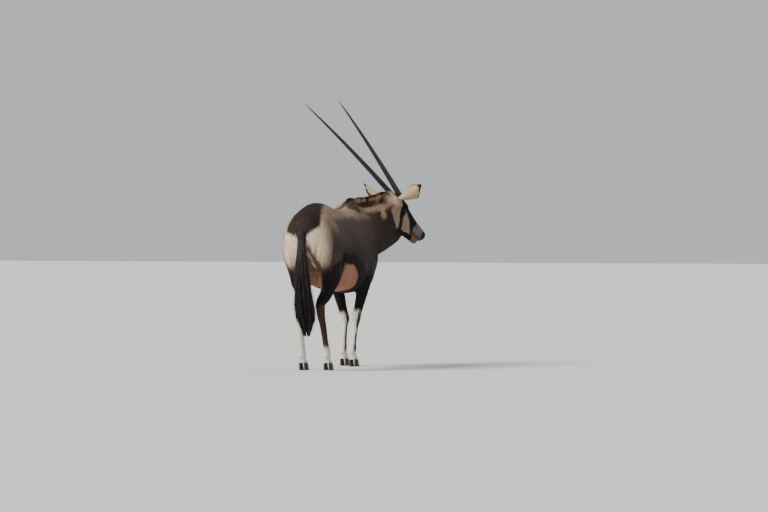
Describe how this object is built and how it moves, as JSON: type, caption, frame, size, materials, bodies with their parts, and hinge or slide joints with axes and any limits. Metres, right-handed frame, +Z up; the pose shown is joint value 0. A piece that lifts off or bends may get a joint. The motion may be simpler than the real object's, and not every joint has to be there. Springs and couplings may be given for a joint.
{
  "type": "standing antelope figure",
  "caption": "Life-size still figure of a standing long-horned antelope with turned head, upright mane and hanging tail brush.",
  "frame": {"origin": "middle of the bounding box on the ground, under the hooves", "axes": "+Z up, -Y the way the body faces, +X the animal's left"},
  "size_m": [0.7812, 1.7514, 1.9472],
  "materials": {
    "coat": "short matt fur",
    "leg_coat": "short matt fur, black above and white below",
    "ear_coat": "short matt fur",
    "hair": "long coarse hair, slight sheen",
    "horn": "ringed keratin, satin",
    "hoof": "worn keratin, satin",
    "eye": "wet gloss"
  },
  "bodies": {
    "root": {"ear_left": "ear_coat", "ear_right": "ear_coat", "eye_left": "eye", "eye_right": "eye", "head": "coat", "hoof_front_left_left": "hoof", "hoof_front_left_right": "hoof", "hoof_front_right_left": "hoof", "hoof_front_right_right": "hoof", "hoof_hind_left_left": "hoof", "hoof_hind_left_right": "hoof", "hoof_hind_right_left": "hoof", "hoof_hind_right_right": "hoof", "horn_left": "horn", "horn_right": "horn", "leg_front_left": "leg_coat", "leg_front_right": "leg_coat", "leg_hind_left": "leg_coat", "leg_hind_right": "leg_coat", "neck": "coat", "tail": "hair", "torso": "coat"}
  },
  "joints": []
}
